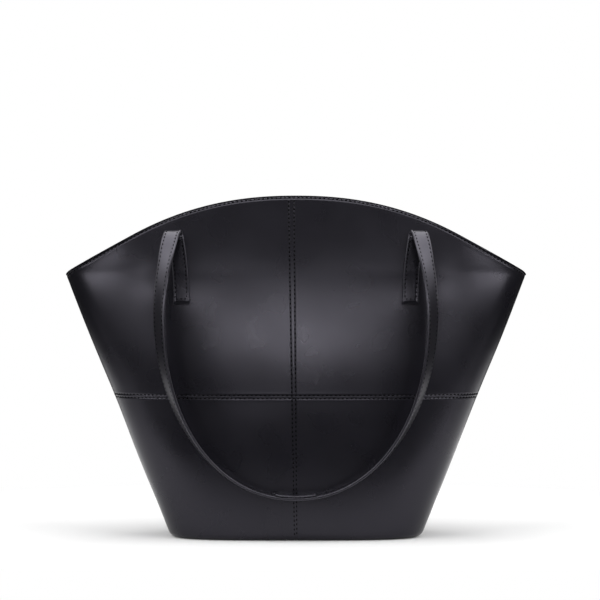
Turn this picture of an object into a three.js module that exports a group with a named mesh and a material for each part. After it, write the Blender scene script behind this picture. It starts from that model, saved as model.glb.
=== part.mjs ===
// A leather tote bag with two flat straps. Millimetres, +Z up.
// The origin is the centre of the base on the floor, +X runs to the right as the front is seen,
// and -Y points out of the front.
//
// The shell tapers from a wide arched mouth down to a narrow base. Each face is sewn from two upper and
// two lower panels, round a centre seam and a cross seam, and the four quarters meet at the side seams.
// The lower panels turn under the bag and meet a base panel. Inside lie a base board, a lining, a leather
// facing round the mouth, a stiffener behind the mouth edge and a patch behind each strap end.
// Each strap is sewn flat to the bag at both ends, folds over there, and hangs down in a loop.
import * as THREE from "three";

const { clamp, degToRad, lerp, smoothstep } = THREE.MathUtils;

// Shell outline
const MOUTH_WIDTH = 461; // between the two top corners
const BASE_WIDTH = 249; // between the straight sides, carried down to the floor
const CENTRE_HEIGHT = 336.5; // top of the arched mouth edge
const CORNER_HEIGHT = 260.5; // the mouth edge at the side seams
const EDGE_ANGLE = 28.3; // degrees, slope of the mouth edge's straight ends
const ARCH_POWER = 2.25; // shape of the mouth's arch, where 2 is a parabola
const MOUTH_DEPTH = 72; // front to back at the top of the arch
const BELLY_DEPTH = 148; // front to back where the bag is deepest
const BELLY_HEIGHT = 110;
const BASE_DEPTH = 140; // front to back at the floor, before the bottom is rounded
const MOUTH_SQUARENESS = 2; // power of the section's superellipse, where 2 is an ellipse
const BASE_SQUARENESS = 3.6;
const CROSS_SEAM_HEIGHT = 139.5;
const BOTTOM_RADIUS = 5; // where the lower panels turn under the bag
const UNDERSIDE_LIP = 6; // lower panel that lies flat under the base board

// Layers, from the outside in
const LEATHER = 1.8;
const STIFFENER = 0.8; // the mouth stiffener and the patches behind the strap ends
const FACING = 1.2;
const LINING = 0.8;
const BASE_BOARD = 2;
const STIFFENER_HEIGHT = 25; // below the mouth edge
const FACING_HEIGHT = 35;
const LAYER_GAP = 0.3; // between pieces that lie on each other
const SEAM_GAP = 0.4; // between pieces that meet edge to edge

// Straps
const STRAP_WIDTH = 16;
const STRAP_LAYER = 1.5; // the face and the backing each
const END_SPACING = 222; // between the centre lines of a strap's two sewn ends
const END_HEIGHT = 229; // lower edge of the sewn ends
const END_LENGTH = 62; // from that edge up to the fold
const END_LEAN = 6; // how far a sewn end bends outwards on its way up
const FOLD_RADIUS = 9; // half of the way that the fold carries the strap forwards
const FOLD_BOW = 16; // length of the fold curve's tangents, which sets how high it rises
const FOLD_SKEW = 7; // how far the fold carries the strap outwards
const FOLD_DROP = 5; // how far the fold reaches down in front
const FOLD_TURN = 30; // degrees, how far the strap turns to the side from the fold on
const LOOP_WIDTH = 264; // between the two runs where the loop is widest
const LOOP_WIDEST_HEIGHT = 220;
const LOOP_BOTTOM_HEIGHT = 41.5;
const LOOP_POWER = 2.1; // shape of the loop below its widest place, where 2 is an ellipse
const LOOP_TWIST = 60; // degrees, how far it turns on the rest of the way, to face down at the bottom
const TURN_FALL = 0.1; // share of the run's height in which that turn ends, half of it in the fold
const TURN_POWER = 3; // how late in the fold it sets in
const LEAN_FALL = 0.12; // share of the run's height in which most of its forward lean lies
const SPREAD_POWER = 1.7; // shape of the run from the fold out to the widest place
const SPLICE_LENGTH = 40; // patch over the joint in the middle of the strap
const SPLICE = 1.6;
const PATCH_MARGIN = 6; // how far a patch reaches past the sewn end

// Fineness of the grids
const PANEL_COLUMNS = 16;
const UPPER_ROWS = 9;
const LOWER_ROWS = 6;
const LINING_ROWS = 4;
const BAND_ROWS = 3;
const ROUNDING_ROWS = 4;
const BASE_SIDES = 56;
const PATCH_STEPS = 4;
const END_STEPS = 6;
const FOLD_STEPS = 10;
const UPPER_RUN_STEPS = 10;
const LOWER_RUN_STEPS = 18;
const SPLICE_STEPS = 8;
const FOOT_ROUNDS = 6;
const SLOPE_STEP = 0.01; // mm, for tangents taken by differences

// Sizes that follow
const STRAP_THICKNESS = 2 * STRAP_LAYER + LAYER_GAP;
const STIFFENER_DEPTH = LEATHER + LAYER_GAP;
const LINING_DEPTH = STIFFENER_DEPTH + STIFFENER + LAYER_GAP;
const ROUNDING_RUN = (BOTTOM_RADIUS * Math.PI) / 2;
const FOLD_HEIGHT = END_HEIGHT + END_LENGTH;

const finish = (color, roughness) => new THREE.MeshStandardMaterial({ color, roughness, metalness: 0 });
const leather = () => finish(0x2b2b30, 0.5);
const strapLeather = () => finish(0x2e2e33, 0.45);
const fabric = () => finish(0x1d1d20, 0.9);
const board = () => finish(0x4a4641, 0.8);

// The shell's surface

function halfWidth(z) {
  return BASE_WIDTH / 2 + ((MOUTH_WIDTH - BASE_WIDTH) / 2) * (z / CORNER_HEIGHT);
}

// The side view is convex: it draws in above and below the belly.
function halfDepth(z) {
  const above = z > BELLY_HEIGHT;
  const reach = above ? CENTRE_HEIGHT - BELLY_HEIGHT : BELLY_HEIGHT;
  const endDepth = above ? MOUTH_DEPTH : BASE_DEPTH;
  return (BELLY_DEPTH - (BELLY_DEPTH - endDepth) * ((z - BELLY_HEIGHT) / reach) ** 2) / 2;
}

function squareness(z) {
  return lerp(BASE_SQUARENESS, MOUTH_SQUARENESS, clamp(z / CORNER_HEIGHT, 0, 1));
}

// The mouth edge is a flat arch in the middle with a straight tangent on each side.
function mouthHeight(x) {
  const slope = Math.tan(degToRad(EDGE_ANGLE));
  const drop = CENTRE_HEIGHT - CORNER_HEIGHT;
  const archEnd = (MOUTH_WIDTH / 2 - drop / slope) / (1 - 1 / ARCH_POWER);
  const archDrop = (slope * archEnd) / ARCH_POWER;
  const away = Math.abs(x);
  if (away < archEnd) return CENTRE_HEIGHT - archDrop * (away / archEnd) ** ARCH_POWER;
  return CENTRE_HEIGHT - archDrop - (away - archEnd) * slope;
}

// A horizontal section is a superellipse.
// The angle runs from +X round by the back, so the middle of the front is at 270 degrees.
function sectionPoint(angle, z, inset) {
  const power = squareness(z);
  const c = Math.cos(angle);
  const s = Math.sin(angle);
  const radius = (Math.abs(c) ** power + Math.abs(s) ** power) ** (-1 / power);
  return new THREE.Vector3((halfWidth(z) - inset) * c * radius, (halfDepth(z) - inset) * s * radius, z);
}

// Distance along the wall's profile: first the flat underside, then the rounding, then up the wall.
function runAtHeight(z) {
  return UNDERSIDE_LIP + ROUNDING_RUN + z - BOTTOM_RADIUS;
}

function wallPoint(angle, run) {
  const turn = (run - UNDERSIDE_LIP) / BOTTOM_RADIUS;
  if (turn < 0) return sectionPoint(angle, 0, BOTTOM_RADIUS + UNDERSIDE_LIP - run);
  if (run > UNDERSIDE_LIP + ROUNDING_RUN) {
    return sectionPoint(angle, run - UNDERSIDE_LIP - ROUNDING_RUN + BOTTOM_RADIUS, 0);
  }
  return sectionPoint(angle, BOTTOM_RADIUS * (1 - Math.cos(turn)), BOTTOM_RADIUS * (1 - Math.sin(turn)));
}

function wallNormal(angle, run) {
  const angleStep = SLOPE_STEP / MOUTH_WIDTH;
  const along = wallPoint(angle + angleStep, run).sub(wallPoint(angle - angleStep, run));
  const up = wallPoint(angle, run + SLOPE_STEP).sub(wallPoint(angle, run - SLOPE_STEP));
  return along.cross(up).normalize();
}

// A point at a depth below the outer face. A negative depth lies outside the bag.
function layerPoint(angle, run, depth) {
  return wallPoint(angle, run).addScaledVector(wallNormal(angle, run), -depth);
}

// The angle at which the front has a given x.
function frontAngle(x, z) {
  const power = squareness(z);
  const across = x / halfWidth(z);
  return Math.atan2(-((1 - Math.abs(across) ** power) ** (1 / power)), across);
}

function frontPoint(x, z, depth) {
  return layerPoint(frontAngle(x, z), runAtHeight(z), depth);
}

// Closed solids from grids of points

function closedSheet(outer, inner) {
  const rows = outer.length;
  const columns = outer[0].length;
  const points = [...outer.flat(), ...inner.flat()];
  const at = (layer, row, column) => (layer * rows + row) * columns + column;
  const index = [];
  const quad = (a, b, c, d) => index.push(a, b, c, a, c, d);
  for (let r = 0; r < rows - 1; r++) {
    for (let c = 0; c < columns - 1; c++) {
      quad(at(0, r, c), at(0, r, c + 1), at(0, r + 1, c + 1), at(0, r + 1, c));
      quad(at(1, r, c), at(1, r + 1, c), at(1, r + 1, c + 1), at(1, r, c + 1));
    }
    const last = columns - 1;
    quad(at(0, r, 0), at(0, r + 1, 0), at(1, r + 1, 0), at(1, r, 0));
    quad(at(0, r, last), at(1, r, last), at(1, r + 1, last), at(0, r + 1, last));
  }
  for (let c = 0; c < columns - 1; c++) {
    const last = rows - 1;
    quad(at(0, 0, c), at(1, 0, c), at(1, 0, c + 1), at(0, 0, c + 1));
    quad(at(0, last, c), at(0, last, c + 1), at(1, last, c + 1), at(1, last, c));
  }
  const geometry = new THREE.BufferGeometry();
  const numbers = points.flatMap((p) => p.toArray());
  geometry.setAttribute("position", new THREE.Float32BufferAttribute(numbers, 3));
  geometry.setIndex(index);
  geometry.computeVertexNormals();
  return geometry;
}

// A sheet between two depths, from rows of [angle, run] places on the wall.
function wallSheet(places, outerDepth, innerDepth) {
  const layer = (depth) => places.map((row) => row.map(([angle, run]) => layerPoint(angle, run, depth)));
  return closedSheet(layer(outerDepth), layer(innerDepth));
}

// The bag's quarters are counted from +X, so the front is the third and the fourth.
const FRONT_LEFT = 2;
const FRONT_RIGHT = 3;

// Angles across some quarters of the bag, clear of the seams at both ends by half the seam gap.
function angleAcross(firstQuarter, quarters, share, z) {
  const clear = (quarter) => SEAM_GAP / 2 / (quarter % 2 ? halfWidth(z) : halfDepth(z));
  const from = (firstQuarter * Math.PI) / 2 + clear(firstQuarter);
  const to = ((firstQuarter + quarters) * Math.PI) / 2 - clear(firstQuarter + quarters);
  return lerp(from, to, share);
}

// How far up the wall the mouth edge lies, found by halving.
function mouthRun(angle) {
  let low = runAtHeight(BOTTOM_RADIUS);
  let high = runAtHeight(2 * CENTRE_HEIGHT);
  while (high - low > SLOPE_STEP / 10) {
    const middle = (low + high) / 2;
    const point = wallPoint(angle, middle);
    if (point.z < mouthHeight(point.x)) low = middle;
    else high = middle;
  }
  return low;
}

const shares = (steps) => Array.from({ length: steps + 1 }, (_, i) => i / steps);

// Places between two edges of the wall, each given as a run for an angle.
function placesBetween(firstQuarter, quarters, columns, rows, lowerRun, upperRun) {
  return shares(rows).map((up) =>
    shares(columns * quarters).map((share) => {
      const angle = angleAcross(firstQuarter, quarters, share, CROSS_SEAM_HEIGHT);
      return [angle, lerp(lowerRun(angle), upperRun(angle), up)];
    }),
  );
}

function upperPanel(quarter) {
  const seam = () => runAtHeight(CROSS_SEAM_HEIGHT) + SEAM_GAP / 2;
  return wallSheet(placesBetween(quarter, 1, PANEL_COLUMNS, UPPER_ROWS, seam, mouthRun), 0, LEATHER);
}

function lowerPanel(quarter) {
  const wallFoot = UNDERSIDE_LIP + ROUNDING_RUN;
  const seam = runAtHeight(CROSS_SEAM_HEIGHT) - SEAM_GAP / 2;
  const runs = [
    0,
    ...shares(ROUNDING_ROWS).map((share) => UNDERSIDE_LIP + share * ROUNDING_RUN),
    ...shares(LOWER_ROWS).slice(1).map((share) => lerp(wallFoot, seam, share)),
  ];
  const places = runs.map((run) =>
    shares(PANEL_COLUMNS).map((share) => [angleAcross(quarter, 1, share, BOTTOM_RADIUS), run]),
  );
  return wallSheet(places, 0, LEATHER);
}

// Bands round the front half of the mouth, and the lining below them

function mouthBand(height, outerDepth, innerDepth) {
  const lower = (angle) => mouthRun(angle) - height;
  const places = placesBetween(FRONT_LEFT, 2, PANEL_COLUMNS, BAND_ROWS, lower, mouthRun);
  return wallSheet(places, outerDepth, innerDepth);
}

function wallLining() {
  const foot = () => UNDERSIDE_LIP + ROUNDING_RUN;
  const top = (angle) => mouthRun(angle) - FACING_HEIGHT - SEAM_GAP;
  const places = placesBetween(FRONT_LEFT, 2, PANEL_COLUMNS, LINING_ROWS, foot, top);
  return wallSheet(places, LINING_DEPTH, LINING_DEPTH + LINING);
}

// Flat layers of the base, with the outline of the shell at the floor drawn in
function baseLayer(inset, thickness) {
  const outline = new THREE.Shape(
    Array.from({ length: BASE_SIDES }, (_, i) => {
      const point = sectionPoint((i * 2 * Math.PI) / BASE_SIDES, 0, inset);
      return new THREE.Vector2(point.x, point.y);
    }),
  );
  return new THREE.ExtrudeGeometry(outline, { depth: thickness, bevelEnabled: false });
}

// Straps: stations along the middle of the strap, each with a point, its direction along the strap and
// its direction across, towards the edge that faces forwards at the bottom of the loop.

function station(point, along, across) {
  const tangent = along.clone().normalize();
  const width = across.clone().addScaledVector(tangent, -across.dot(tangent)).normalize();
  return { point, tangent, width, normal: tangent.clone().cross(width) };
}

const FORWARDS = new THREE.Vector3(0, -1, 0);

// The sewn end lies flat on the panel. Its station is at a height above the floor.
function endStation(side, z) {
  const place = (inward, height) => {
    const bend = ((height - END_HEIGHT) / END_LENGTH) ** 2;
    const x = side * (END_SPACING / 2 + END_LEAN * bend - inward);
    return frontPoint(x, height, -LAYER_GAP - STRAP_THICKNESS / 2);
  };
  const along = place(0, z + SLOPE_STEP).sub(place(0, z - SLOPE_STEP));
  const across = place(SLOPE_STEP, z).sub(place(-SLOPE_STEP, z));
  return station(place(0, z), along, across);
}

// The free run in the front view: a steep curve out from the fold, then a quarter of a superellipse.
const RUN_TOP = FOLD_HEIGHT - FOLD_DROP;
const foldTop = endStation(1, FOLD_HEIGHT).point;
const RUN_START_X = foldTop.x + FOLD_SKEW;
const RUN_START_Y = foldTop.y - 2 * FOLD_RADIUS;

function upperRunPoint(share) {
  const up = 1 - share;
  const x = lerp(LOOP_WIDTH / 2, RUN_START_X, up ** SPREAD_POWER);
  return new THREE.Vector2(x, lerp(LOOP_WIDEST_HEIGHT, RUN_TOP, up));
}

function lowerRunPoint(share) {
  const angle = (share * Math.PI) / 2;
  const out = Math.cos(angle) ** (2 / LOOP_POWER);
  const down = Math.sin(angle) ** (2 / LOOP_POWER);
  return new THREE.Vector2((LOOP_WIDTH / 2) * out, lerp(LOOP_WIDEST_HEIGHT, LOOP_BOTTOM_HEIGHT, down));
}

const halfRun = [
  ...shares(UPPER_RUN_STEPS).map(upperRunPoint),
  ...shares(LOWER_RUN_STEPS).slice(1).map(lowerRunPoint),
];

const fallAt = (z) => (RUN_TOP - z) / (RUN_TOP - LOOP_BOTTOM_HEIGHT);

function twistAt(z) {
  const fall = fallAt(z);
  return degToRad(FOLD_TURN * smoothstep(fall, -TURN_FALL, TURN_FALL) + LOOP_TWIST * fall);
}

// The share of its forward lean that the run has reached at a height.
function leanAt(z) {
  return (1 - Math.exp(-fallAt(z) / LEAN_FALL)) / (1 - Math.exp(-1 / LEAN_FALL));
}

// How far the strap's section, with the splice on it, reaches back from its middle at a height.
function reachAt(z) {
  const behind = STRAP_THICKNESS / 2 + LAYER_GAP + SPLICE;
  return Math.sin(twistAt(z)) * (STRAP_WIDTH / 2) + Math.cos(twistAt(z)) * behind;
}

// The run leans forwards just far enough to clear the shell on its way down.
const RUN_LEAN = Math.max(
  ...halfRun.slice(1).map((p) => {
    const clearY = frontPoint(p.x, p.y, 0).y - LAYER_GAP - reachAt(p.y);
    return (RUN_START_Y - clearY) / leanAt(p.y);
  }),
);

function runStations() {
  const half = halfRun.map((p) => new THREE.Vector3(p.x, RUN_START_Y - RUN_LEAN * leanAt(p.y), p.y));
  const left = half.map((p) => new THREE.Vector3(-p.x, p.y, p.z));
  const path = [...left, ...half.reverse().slice(1)];
  return path.map((point, i) => {
    const next = path[Math.min(i + 1, path.length - 1)];
    const tangent = next.clone().sub(path[Math.max(i - 1, 0)]).normalize();
    const twist = twistAt(point.z);
    const across = FORWARDS.clone().cross(tangent).multiplyScalar(Math.cos(twist));
    return station(point, tangent, across.addScaledVector(FORWARDS, Math.sin(twist)));
  });
}

const run = runStations();

// The fold turns the strap over from the sewn end to the run.
function foldStations(side) {
  const from = endStation(side, FOLD_HEIGHT);
  const to = side < 0 ? run[0] : run[run.length - 1];
  const down = to.tangent.clone().multiplyScalar(side < 0 ? 1 : -1);
  const curve = new THREE.CubicBezierCurve3(
    from.point,
    from.point.clone().addScaledVector(from.tangent, FOLD_BOW),
    to.point.clone().addScaledVector(down, -FOLD_BOW),
    to.point,
  );
  return shares(FOLD_STEPS).map((share) => {
    const across = from.width.clone().lerp(to.width, share ** TURN_POWER);
    return station(curve.getPoint(share), curve.getTangent(share), across);
  });
}

// A ribbon between two offsets from the middle of the strap, where the face is on the positive side.
function ribbon(stations, from, to) {
  const layer = (offset) =>
    stations.map(({ point, width, normal }) =>
      [1, -1].map((edge) =>
        point
          .clone()
          .addScaledVector(width, (edge * STRAP_WIDTH) / 2)
          .addScaledVector(normal, offset),
      ),
    );
  return closedSheet(layer(to), layer(from));
}

// On the right the strap runs the other way up its sewn end, so its width and its face change sides.
function wholeStrap(stations, side) {
  const ordered = side < 0 ? stations : [...stations].reverse();
  const facing = ordered.map((s) => (side < 0 ? s : station(s.point, s.tangent.clone().negate(), s.width)));
  return ribbon(facing, -STRAP_THICKNESS / 2, STRAP_THICKNESS / 2);
}

function strapEnd(side) {
  const top = FOLD_HEIGHT - LAYER_GAP;
  const stations = shares(END_STEPS).map((share) => endStation(side, lerp(END_HEIGHT, top, share)));
  return wholeStrap(stations, side);
}

function strapFold(side) {
  return wholeStrap(foldStations(side), side);
}

// The face and the backing start a little below the fold.
function strapRun(from, to) {
  const trimmed = [...run];
  const startLower = ({ point, tangent, width }, way) =>
    station(point.clone().addScaledVector(tangent, way * LAYER_GAP), tangent, width);
  trimmed[0] = startLower(run[0], 1);
  trimmed[run.length - 1] = startLower(run[run.length - 1], -1);
  return ribbon(trimmed, from, to);
}

function strapSplice() {
  const middle = run[(run.length - 1) / 2];
  const outer = -STRAP_THICKNESS / 2 - LAYER_GAP;
  const curve = new THREE.CatmullRomCurve3(run.map((s) => s.point));
  const half = SPLICE_LENGTH / 2 / curve.getLength();
  const stations = shares(SPLICE_STEPS).map((share) => {
    const place = lerp(0.5 - half, 0.5 + half, share);
    return station(curve.getPointAt(place), curve.getTangentAt(place), middle.width);
  });
  return ribbon(stations, outer - SPLICE, outer);
}

// How high the front's stiffener starts at an x.
// A few rounds settle it, because the angle shifts with the height.
function stiffenerFoot(x) {
  let z = mouthHeight(x);
  for (let round = 0; round < FOOT_ROUNDS; round++) {
    z = mouthRun(frontAngle(x, z)) - STIFFENER_HEIGHT - runAtHeight(0);
  }
  return z;
}

// The patch behind a sewn end reaches up to the mouth stiffener.
function endPatch(side) {
  const halfPatch = STRAP_WIDTH / 2 + PATCH_MARGIN;
  const places = shares(PATCH_STEPS).map((up) =>
    shares(PATCH_STEPS).map((share) => {
      const x = (side * END_SPACING) / 2 + lerp(-halfPatch, halfPatch, share);
      const z = lerp(END_HEIGHT - PATCH_MARGIN, stiffenerFoot(x) - SEAM_GAP, up);
      return [frontAngle(x, z), runAtHeight(z)];
    }),
  );
  return wallSheet(places, STIFFENER_DEPTH, STIFFENER_DEPTH + STIFFENER);
}

// The assembly

const bag = new THREE.Group();

function add(group, name, geometry, material) {
  const mesh = new THREE.Mesh(geometry, material);
  mesh.name = name;
  group.add(mesh);
  return mesh;
}

const baseInset = BOTTOM_RADIUS + UNDERSIDE_LIP + SEAM_GAP;
const boardHeight = LEATHER + LAYER_GAP;
add(bag, "base_panel", baseLayer(baseInset, LEATHER), leather());
add(bag, "base_board", baseLayer(BOTTOM_RADIUS, BASE_BOARD), board()).position.z = boardHeight;
add(bag, "base_lining", baseLayer(BOTTOM_RADIUS, LINING), fabric()).position.z =
  boardHeight + BASE_BOARD + LAYER_GAP;

// The back is the front turned half round, so its left is the front's right.
for (const face of ["front", "back"]) {
  const half = new THREE.Group();
  half.rotation.z = face === "front" ? 0 : Math.PI;
  bag.add(half);
  for (const side of [-1, 1]) {
    const hand = (side < 0) === (face === "front") ? "left" : "right";
    const quarter = side < 0 ? FRONT_LEFT : FRONT_RIGHT;
    add(half, `${face}_upper_${hand}_panel`, upperPanel(quarter), leather());
    add(half, `${face}_lower_${hand}_panel`, lowerPanel(quarter), leather());
    add(half, `${face}_${hand}_strap_end`, strapEnd(side), strapLeather());
    add(half, `${face}_${hand}_strap_fold`, strapFold(side), strapLeather());
    add(half, `${face}_${hand}_strap_patch`, endPatch(side), board());
  }
  const stiffener = mouthBand(STIFFENER_HEIGHT, STIFFENER_DEPTH, STIFFENER_DEPTH + STIFFENER);
  const facing = mouthBand(FACING_HEIGHT, LINING_DEPTH, LINING_DEPTH + FACING);
  add(half, `${face}_mouth_stiffener`, stiffener, board());
  add(half, `${face}_facing`, facing, leather());
  add(half, `${face}_lining`, wallLining(), fabric());
  add(half, `${face}_strap_face`, strapRun(LAYER_GAP / 2, STRAP_THICKNESS / 2), strapLeather());
  add(half, `${face}_strap_backing`, strapRun(-STRAP_THICKNESS / 2, -LAYER_GAP / 2), strapLeather());
  add(half, `${face}_strap_splice`, strapSplice(), strapLeather());
}

export default bag;
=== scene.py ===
"""The looks of a black leather tote bag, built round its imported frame.

Sizes are in millimetres, as on the bag, and become metres where a mesh is made.
+X runs to the right as the front is seen, -Y points out of the front and +Z is up.
"""

import math

import bpy
import numpy as np
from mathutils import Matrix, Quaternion, Vector


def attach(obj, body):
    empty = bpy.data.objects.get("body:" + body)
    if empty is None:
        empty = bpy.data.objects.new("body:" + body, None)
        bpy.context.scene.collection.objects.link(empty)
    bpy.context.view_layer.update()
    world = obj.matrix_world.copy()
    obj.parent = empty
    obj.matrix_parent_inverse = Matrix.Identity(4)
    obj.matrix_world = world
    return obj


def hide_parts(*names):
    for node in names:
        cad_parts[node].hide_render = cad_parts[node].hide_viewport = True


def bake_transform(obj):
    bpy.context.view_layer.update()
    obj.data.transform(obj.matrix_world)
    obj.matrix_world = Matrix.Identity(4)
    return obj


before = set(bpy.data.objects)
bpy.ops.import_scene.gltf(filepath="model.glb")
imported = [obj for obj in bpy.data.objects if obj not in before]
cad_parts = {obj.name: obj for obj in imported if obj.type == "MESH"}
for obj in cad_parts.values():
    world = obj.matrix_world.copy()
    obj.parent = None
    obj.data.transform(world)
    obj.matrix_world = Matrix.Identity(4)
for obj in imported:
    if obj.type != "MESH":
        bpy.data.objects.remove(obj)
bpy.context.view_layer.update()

METRE = 0.001  # metres to a millimetre

# Shell outline
MOUTH_WIDTH = 461
BASE_WIDTH = 249
CENTRE_HEIGHT = 336.5
CORNER_HEIGHT = 260.5
EDGE_ANGLE = math.radians(28.3)
ARCH_POWER = 2.25
MOUTH_DEPTH = 72
BELLY_DEPTH = 148
BELLY_HEIGHT = 110
BASE_DEPTH = 140
MOUTH_SQUARENESS = 2
BASE_SQUARENESS = 3.6
CROSS_SEAM_HEIGHT = 139.5
BOTTOM_RADIUS = 5
UNDERSIDE_LIP = 6
CORNER_ROUNDING = 5  # length of mouth edge that is rounded off at each side seam
CORNER_DROP = 1.5

# Layers, from the outside in
LEATHER = 1.8
STIFFENER = 0.8
FACING = 1.2
LINING = 0.8
BASE_BOARD = 2
FACING_HEIGHT = 35
LAYER_GAP = 0.3
SEAM_GAP = 0.4

# Seams. A seam has two rows of stitches, at this distance each side of its middle.
CENTRE_SPREAD_TOP = 2.65
CENTRE_SPREAD_BOTTOM = 1.15
CENTRE_LEAN_TOP = -4.6  # where the middle of the centre seam lies at the mouth and at the floor
CENTRE_LEAN_BOTTOM = -0.1
CROSS_SPREAD = 1.5
MOUTH_ROW = 2.4  # from the mouth edge down to its row of stitches
EDGE_COVER = 0.5  # painted edge above the cut edge of the leather
STITCH_PITCH = 4.3
STITCH_LENGTH = 2.8
STITCH_HEIGHT = 0.9
SEAM_STITCH_WIDTH = 1.9
STRAP_STITCH_WIDTH = 1.6

# Relief of the sewn leather. A ridge or groove is given as its height, its place and its width.
CENTRE_BAND = 0.04  # between the rows of the centre seam
CENTRE_BAND_RISE = 1
CENTRE_GROOVE_BOTTOM = 0.3  # depth at the floor, and from the cross seam upwards
CENTRE_GROOVE_TOP = 0.16
CENTRE_GROOVE_WIDTH = 0.55
CENTRE_SHOULDER = (0.05, 1.7, 1.2)  # out from the rows
CROSS_UPPER_GROOVE = (-0.24, CROSS_SPREAD, 0.6)  # up from the middle of the cross seam
CROSS_LOWER_GROOVE = (-0.2, -CROSS_SPREAD, 0.6)
CROSS_SHOULDER = (0.04, 1.7, 1.2)  # out from the rows
CROSS_RIDGE = (0.2, 0, 0.7)
MOUTH_ROUNDING = 0.15  # how far the leather turns in at the mouth edge, and over which height
MOUTH_ROUNDING_HEIGHT = 1
MOUTH_GROOVE = (-0.3, 0.4, 1)  # down from the row
MOUTH_RIDGE = (0.06, 2.4, 0.9)
SIDE_SWELL = (0.12, 3.2, 1.8)  # away from the side seam
SIDE_DIP = (-0.9, 0, 0.9)
BULGE_HEIGHT = 5.5  # how far the leather swells next to the corners, below the stiff mouth edge
BULGE_DROP = 54
BULGE_START = 150
BULGE_SPAN = 70
PULL_HEIGHT = 1.9  # how far the straps pull the leather out round the sewn ends
PULL_REACH = 30
PULL_SHIFT = 12  # middle of the pull outside the middle of a sewn end
PULL_RISE = 16  # middle of the pull above the foot of a sewn end
WAVE_COUNT = 14  # slight waves all over
WAVE_HEIGHT = 0.04  # of the shortest, and the others are higher in step with their length
SHORTEST_WAVE = 60
LONGEST_WAVE = 160
WAVE_FOOT = 20  # the waves fade in up to this height

# Straps
STRAP_WIDTH = 16
STRAP_LAYER = 1.5
STRAP_THICKNESS = 2 * STRAP_LAYER + LAYER_GAP
END_SPACING = 222
END_HEIGHT = 229
END_LENGTH = 62
END_LEAN = 6
FOLD_RADIUS = 9
FOLD_BOW = 16
FOLD_SKEW = 7
FOLD_DROP = 5
FOLD_TURN = math.radians(30)
LOOP_WIDTH = 264
LOOP_WIDEST_HEIGHT = 220
LOOP_BOTTOM_HEIGHT = 41.5
LOOP_POWER = 2.1  # roundness of the loop's lower half: 2 is an ellipse
LOOP_TWIST = math.radians(60)
TURN_FALL = 0.1  # share of the hanging run by which the fold's turn is complete
TURN_POWER = 3  # how late in the fold that turn begins
LEVEL_POWER = 0.7  # how soon in the fold the strap comes level from side to side
LEAN_FALL = 0.12  # share of the run over which it leans forwards most
SPREAD_POWER = 1.7  # how soon below the fold the run spreads to the loop's full width
SPLICE_LENGTH = 40
SPLICE = 1.6
PARED_EDGE = 0.75  # share of the splice's thickness left at its pared edges
PARED_WIDTH = 0.6
STRAP_ROW = 2.6  # from the strap's edges to its rows of stitches
STRAP_RIM = 1.9  # width of the rounded rim
RIM_SINK = 0.1  # how far the leather next to the rim lies below the full thickness
STRAP_NOTCH = 0.45  # depth of the groove in its edges, between its two layers
NOTCH_LIP = 0.4  # from the middle of the edge to where each layer stands out furthest
STRAP_CROWN = 0.05
STRAP_GROOVE = 0.13  # depth and width of the groove that holds a row
STRAP_GROOVE_WIDTH = 0.45
FOOT_ROW = 4.7  # from the foot of a sewn end up to its row of stitches
FOOT_BEVEL = 3.6  # height of the bevel at that foot
FOOT_TAPER = 0.75  # share of the thickness that the bevel takes away
FOOT_PAINT = 1.8  # faces of a sewn end that begin nearer than this to its foot are painted
SIDE_PAINT = 0.4  # and so are those that begin nearer than this to its long edges
FOOT_GROOVE = 0.2

# Sizes that follow
STIFFENER_DEPTH = LEATHER + LAYER_GAP
LINING_DEPTH = STIFFENER_DEPTH + STIFFENER + LAYER_GAP
WALL_DEPTH = LINING_DEPTH + FACING
ROUNDING_RUN = BOTTOM_RADIUS * math.pi / 2
WALL_FOOT = UNDERSIDE_LIP + ROUNDING_RUN
FOLD_HEIGHT = END_HEIGHT + END_LENGTH
LAP_HEIGHT = CROSS_SEAM_HEIGHT + CROSS_SPREAD
SLOPE_STEP = 0.01

# Fineness of the grids. Lines lie close together along seams and edges.
NEAR_SEAM = np.array([0, 0.35, 0.65, 0.82, 0.92, 1, 1.08, 1.2, 1.4, 1.7, 2.1, 2.7, 3.6, 5])
NEAR_SIDE = np.array([14, 9, 6, 4.3, 3.1, 2.2, 1.5, 0.9, 0.4, 0])
NEAR_CROSS = np.array([0, 0.25, 0.5, 0.8, 1.2, 1.7, 2.3, 3, 4, 5.5])
NEAR_MOUTH = np.array([8, 6, 5, 4.3, 3.7, 3.2, 2.8, 2.4, 2, 1.6, 1.2, 0.8, 0.4, 0])
NEAR_LAP = np.array([9, 7, 5.8, 5, 4.4, 4, 3.7, 3.4, 3, 2.5, 2, 1.4, 0.9, 0.5, 0.2, 0])
NEAR_EDGE = np.array([0, 0.06, 0.2, 0.45, 0.8, 1.2, 1.6, 2, 2.3, 2.6, 2.9, 3.2, 3.6, 4.2, 6])
FAR_COLUMNS = 42
UPPER_ROWS = 44
LOWER_ROWS = 30
SETTLE_ROUNDS = 12


def lerp(start, end, share):
    return start + (end - start) * share


def unit(vectors):
    return vectors / np.linalg.norm(vectors, axis=-1, keepdims=True)


def shares(steps):
    return np.linspace(0, 1, steps + 1)


def inner_shares(steps):
    return shares(steps + 1)[1:-1]


def turns(count):
    return np.arange(count) * 2 * math.pi / count


def front_angles(clear, count):
    """Angles across the front, from one side seam to the other."""
    return np.linspace(-math.pi + clear, -clear, count)


def hump(distance, width):
    return np.exp(-((distance / width) ** 2))


def ridge(distance, height, place, width):
    return height * hump(distance - place, width)


def ease(distance, length):
    share = np.clip(distance / length, 0, 1)
    return share * share * (3 - 2 * share)


def reach_along(line):
    """How far along a line each of its points lies."""
    steps = np.linalg.norm(np.diff(line, axis=0), axis=1)
    return np.concatenate([[0], np.cumsum(steps)])


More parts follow.
